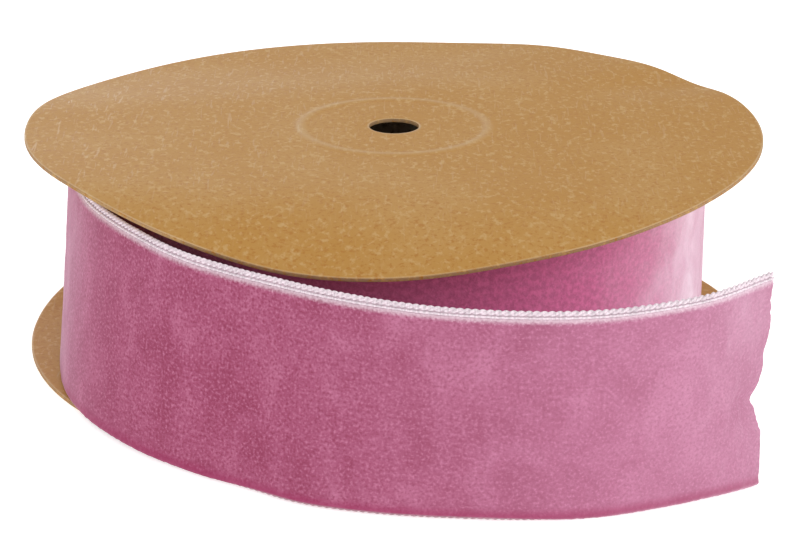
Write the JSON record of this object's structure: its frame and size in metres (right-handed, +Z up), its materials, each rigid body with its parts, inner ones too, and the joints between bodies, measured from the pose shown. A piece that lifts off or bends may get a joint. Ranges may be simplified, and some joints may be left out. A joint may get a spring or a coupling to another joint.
{
  "type": "ribbon spool",
  "caption": "Round spool of two kraft board flanges on a paper core, wound with pink velvet ribbon whose torn end curves loose round the front.",
  "frame": {"origin": "centre of the spindle hole, in the plane of the lower flange's underside", "axes": "+Z up the spindle axis, through both flanges; -Y towards the front of the loose ribbon; +X towards its torn end"},
  "size_m": [0.14, 0.1586, 0.0427],
  "materials": {
    "kraft_board": "matte kraft board with fine fibre speckle",
    "core_paper": "matte spiral-wound grey-brown paper tube",
    "glue": "dull amber hot-melt glue",
    "tape": "clear adhesive tape",
    "velvet": "brushed mauve-pink velvet pile with a soft sheen",
    "selvedge": "pale pink woven cord edge with tiny loops"
  },
  "bodies": {
    "spool": {"top_flange": "kraft_board", "bottom_flange": "kraft_board", "core_inner_ply": "core_paper", "core_middle_ply": "core_paper", "core_outer_ply": "core_paper", "top_glue": "glue", "bottom_glue": "glue", "start_tape": "tape", "roll_pile": "velvet", "roll_top_selvedge": "selvedge", "roll_bottom_selvedge": "selvedge"},
    "tail_1": {"tail_1_pile": "velvet", "tail_1_top_selvedge": "selvedge", "tail_1_bottom_selvedge": "selvedge"},
    "tail_2": {"tail_2_pile": "velvet", "tail_2_top_selvedge": "selvedge", "tail_2_bottom_selvedge": "selvedge"},
    "tail_3": {"tail_3_pile": "velvet", "tail_3_top_selvedge": "selvedge", "tail_3_bottom_selvedge": "selvedge"},
    "tail_4": {"tail_4_pile": "velvet", "tail_4_top_selvedge": "selvedge", "tail_4_bottom_selvedge": "selvedge"},
    "tail_5": {"tail_5_pile": "velvet", "tail_5_top_selvedge": "selvedge", "tail_5_bottom_selvedge": "selvedge"}
  },
  "joints": [
    {"name": "tail_swing", "type": "hinge", "parent": "spool", "child": "tail_1", "pos_m": [-0.059, 0, 0.02], "axis": [0, 0, -1], "range_deg": [0, 35]},
    {"name": "tail_bend", "type": "hinge", "parent": "tail_1", "child": "tail_2", "pos_m": [-0.05774, -0.02396, 0.02], "axis": [0, 0, -1], "range_deg": [0, 20]},
    {"name": "tail_bend_3", "type": "hinge", "parent": "tail_2", "child": "tail_3", "pos_m": [-0.04499, -0.05718, 0.02], "axis": [0, 0, -1], "range_deg": [0, 20]},
    {"name": "tail_bend_4", "type": "hinge", "parent": "tail_3", "child": "tail_4", "pos_m": [-0.01656, -0.0802, 0.02], "axis": [0, 0, -1], "range_deg": [0, 20]},
    {"name": "tail_bend_5", "type": "hinge", "parent": "tail_4", "child": "tail_5", "pos_m": [0.01733, -0.08803, 0.02], "axis": [0, 0, -1], "range_deg": [0, 20]}
  ],
  "couplings": [
    {"joint": "tail_bend_3", "follows": "tail_bend", "ratio": 1},
    {"joint": "tail_bend_4", "follows": "tail_bend", "ratio": 1},
    {"joint": "tail_bend_5", "follows": "tail_bend", "ratio": 1}
  ]
}
